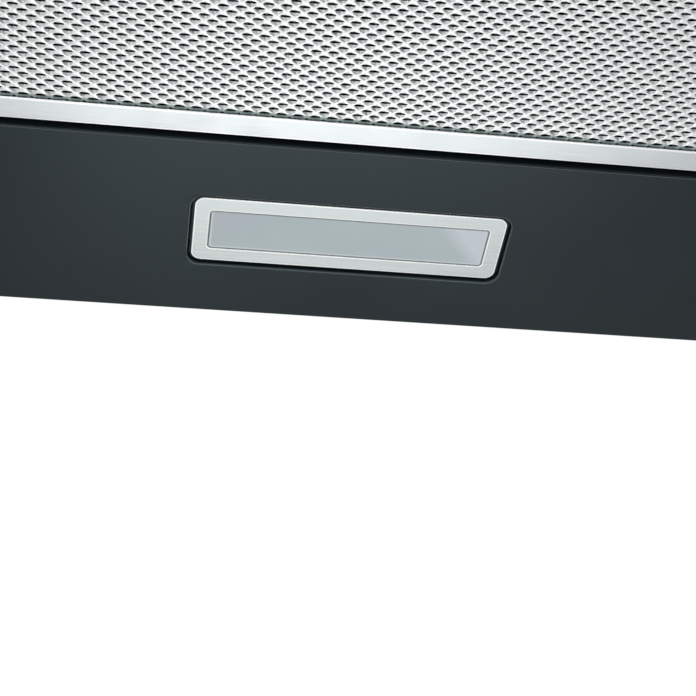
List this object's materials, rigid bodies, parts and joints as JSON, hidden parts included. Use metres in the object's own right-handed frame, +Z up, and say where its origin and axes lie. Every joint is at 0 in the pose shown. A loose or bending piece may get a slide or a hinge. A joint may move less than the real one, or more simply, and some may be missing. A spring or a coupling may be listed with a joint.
{
  "type": "chimney range hood",
  "caption": "Wall-mounted chimney range hood: pyramid canopy, swing-down mesh filters, strip lamps, push buttons, centrifugal blower and a telescopic chimney.",
  "frame": {"origin": "wall plane, middle of the width, underside of the bottom frame", "axes": "+X along the width, +Y into the wall, +Z up along the chimney"},
  "size_m": [0.9, 0.5052, 0.8],
  "materials": {
    "painted_steel": "satin charcoal powder coat",
    "zinc_steel": "zinc-coated sheet",
    "steel_screws": "zinc-plated",
    "motor_steel": "drawn steel, clear lacquer",
    "black_plastic": "moulded, fine matt",
    "white_plastic": "moulded, satin",
    "rubber": "matt",
    "board": "solder mask",
    "capacitor_can": "drawn, satin",
    "brushed_stainless": "brushed along its length",
    "frosted_lens": "frosted",
    "filter_aluminium": "bright rolled",
    "mesh_aluminium": "expanded, bright"
  },
  "bodies": {
    "hood": {"canopy_shell": "painted_steel", "bottom_frame": "painted_steel", "back_panel": "zinc_steel", "panel_screws": "steel_screws", "cable_grommet": "rubber", "blower_deck": "zinc_steel", "blower_housing_left": "black_plastic", "blower_housing_right": "black_plastic", "inlet_guard": "steel_screws", "motor_bracket": "zinc_steel", "motor_can": "motor_steel", "motor_bearing": "zinc_steel", "rubber_mounts": "rubber", "motor_screws": "steel_screws", "housing_screws": "steel_screws", "outlet_collar": "black_plastic", "flap_pins": "steel_screws", "capacitor": "capacitor_can", "capacitor_clip": "zinc_steel", "control_box": "white_plastic", "control_box_lid": "white_plastic", "lower_chimney": "painted_steel", "chimney_guides": "white_plastic", "chimney_screws": "steel_screws", "control_fascia": "brushed_stainless", "button_housing": "black_plastic", "switch_board": "board", "lamp_bezel_left": "brushed_stainless", "lamp_bezel_right": "brushed_stainless", "lamp_lens_left": "frosted_lens", "lamp_lens_right": "frosted_lens", "lamp_reflector_left": "white_plastic", "lamp_reflector_right": "white_plastic", "lamp_board_left": "board", "lamp_board_right": "board"},
    "impeller": {"impeller": "black_plastic", "motor_shaft": "zinc_steel"},
    "flap_front": {"flap_front": "white_plastic"},
    "flap_rear": {"flap_rear": "white_plastic"},
    "upper_chimney": {"upper_chimney": "painted_steel", "wall_bracket": "zinc_steel"},
    "button_1": {"button_1": "brushed_stainless"},
    "button_2": {"button_2": "brushed_stainless"},
    "button_3": {"button_3": "brushed_stainless"},
    "button_4": {"button_4": "brushed_stainless"},
    "button_5": {"button_5": "brushed_stainless"},
    "filter_left": {"filter_frame_left": "filter_aluminium", "filter_net_left": "mesh_aluminium", "filter_core_left": "mesh_aluminium", "filter_back_net_left": "mesh_aluminium", "catch_cup_left": "brushed_stainless"},
    "catch_left": {"filter_catch_left": "brushed_stainless"},
    "filter_right": {"filter_frame_right": "filter_aluminium", "filter_net_right": "mesh_aluminium", "filter_core_right": "mesh_aluminium", "filter_back_net_right": "mesh_aluminium", "catch_cup_right": "brushed_stainless"},
    "catch_right": {"filter_catch_right": "brushed_stainless"}
  },
  "joints": [
    {"name": "impeller_spin", "type": "hinge", "parent": "hood", "child": "impeller", "pos_m": [0, -0.125, 0.25], "axis": [1, 0, 0], "continuous": true},
    {"name": "flap_front_hinge", "type": "hinge", "parent": "hood", "child": "flap_front", "pos_m": [0, -0.151, 0.362], "axis": [-1, 0, 0], "range_deg": [0, 75]},
    {"name": "flap_rear_hinge", "type": "hinge", "parent": "hood", "child": "flap_rear", "pos_m": [0, -0.142, 0.362], "axis": [1, 0, 0], "range_deg": [0, 75]},
    {"name": "upper_chimney_slide", "type": "slide", "parent": "hood", "child": "upper_chimney", "axis": [0, 0, 1], "range_m": [-0.14, 0.18]},
    {"name": "button_1_press", "type": "slide", "parent": "hood", "child": "button_1", "axis": [0, 1, 0], "range_m": [0, 0.003], "stiffness_N_per_m": 400, "springref_m": -0.002},
    {"name": "button_2_press", "type": "slide", "parent": "hood", "child": "button_2", "axis": [0, 1, 0], "range_m": [0, 0.003], "stiffness_N_per_m": 400, "springref_m": -0.002},
    {"name": "button_3_press", "type": "slide", "parent": "hood", "child": "button_3", "axis": [0, 1, 0], "range_m": [0, 0.003], "stiffness_N_per_m": 400, "springref_m": -0.002},
    {"name": "button_4_press", "type": "slide", "parent": "hood", "child": "button_4", "axis": [0, 1, 0], "range_m": [0, 0.003], "stiffness_N_per_m": 400, "springref_m": -0.002},
    {"name": "button_5_press", "type": "slide", "parent": "hood", "child": "button_5", "axis": [0, 1, 0], "range_m": [0, 0.003], "stiffness_N_per_m": 400, "springref_m": -0.002},
    {"name": "filter_left_swing", "type": "hinge", "parent": "hood", "child": "filter_left", "pos_m": [-0.2135, -0.119, 0.007], "axis": [1, 0, 0], "range_deg": [0, 75]},
    {"name": "catch_left_slide", "type": "slide", "parent": "filter_left", "child": "catch_left", "axis": [0, -1, 0], "range_m": [0, 0.006]},
    {"name": "filter_right_swing", "type": "hinge", "parent": "hood", "child": "filter_right", "pos_m": [0.2135, -0.119, 0.007], "axis": [1, 0, 0], "range_deg": [0, 75]},
    {"name": "catch_right_slide", "type": "slide", "parent": "filter_right", "child": "catch_right", "axis": [0, -1, 0], "range_m": [0, 0.006]}
  ]
}
